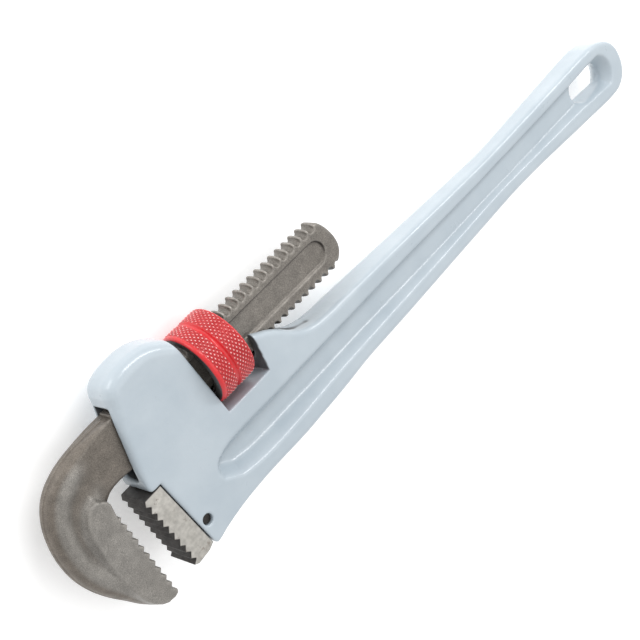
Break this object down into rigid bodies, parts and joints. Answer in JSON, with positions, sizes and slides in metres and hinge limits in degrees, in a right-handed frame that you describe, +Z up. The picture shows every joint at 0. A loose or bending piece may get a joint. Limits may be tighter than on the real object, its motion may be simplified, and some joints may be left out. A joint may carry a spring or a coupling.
{
  "type": "pipe wrench",
  "caption": "Adjustable pipe wrench with an I-section handle, a toothed hook jaw moved by a knurled ring nut, and a pinned toothed heel jaw.",
  "frame": {"origin": "centre of the bounding box's lower face, under the wrench as it lies on its side", "axes": "+X along the handle from the jaws to the hanging end, +Y the side that the hook jaw's threaded shank is on, +Z up as the wrench lies on its side, which is the axis that the hook jaw rocks about"},
  "size_m": [0.451, 0.1104, 0.0424],
  "materials": {
    "painted_casting": "gloss light blue-grey paint over cast aluminium",
    "forged_steel": "shot-blasted drop-forged steel, brown-grey",
    "nut_paint": "gloss red paint, worn pale on the knurl",
    "ground_steel": "ground sides, dark teeth",
    "pin_steel": "plain drawn steel",
    "spring_steel": "oil-tempered spring steel"
  },
  "bodies": {
    "handle": {"handle": "painted_casting", "heel_jaw": "ground_steel", "heel_jaw_pin": "pin_steel", "coil_spring": "spring_steel"},
    "jaw_spring": {"leaf_spring": "spring_steel", "spring_rivet": "pin_steel"},
    "nut": {"adjusting_nut": "nut_paint"},
    "hook_jaw": {"hook_jaw": "forged_steel"}
  },
  "joints": [
    {"name": "jaw_rock", "type": "hinge", "parent": "handle", "child": "jaw_spring", "pos_m": [-0.10495, 0.0214, 0.0212], "axis": [0, 0, 1], "range_deg": [0, 3], "stiffness_Nm_per_rad": 40, "springref_deg": -2.01, "deforming": ["coil_spring"]},
    {"name": "nut_spin", "type": "hinge", "parent": "jaw_spring", "child": "nut", "pos_m": [-0.10495, 0.0214, 0.0212], "axis": [1, 0, 0], "range_deg": [-4140, 620]},
    {"name": "hook_slide", "type": "slide", "parent": "jaw_spring", "child": "hook_jaw", "axis": [1, 0, 0], "range_m": [-0.0622, 0.0094]}
  ],
  "couplings": [
    {"joint": "hook_slide", "follows": "nut_spin", "m_per_rad": 0.00085944}
  ]
}
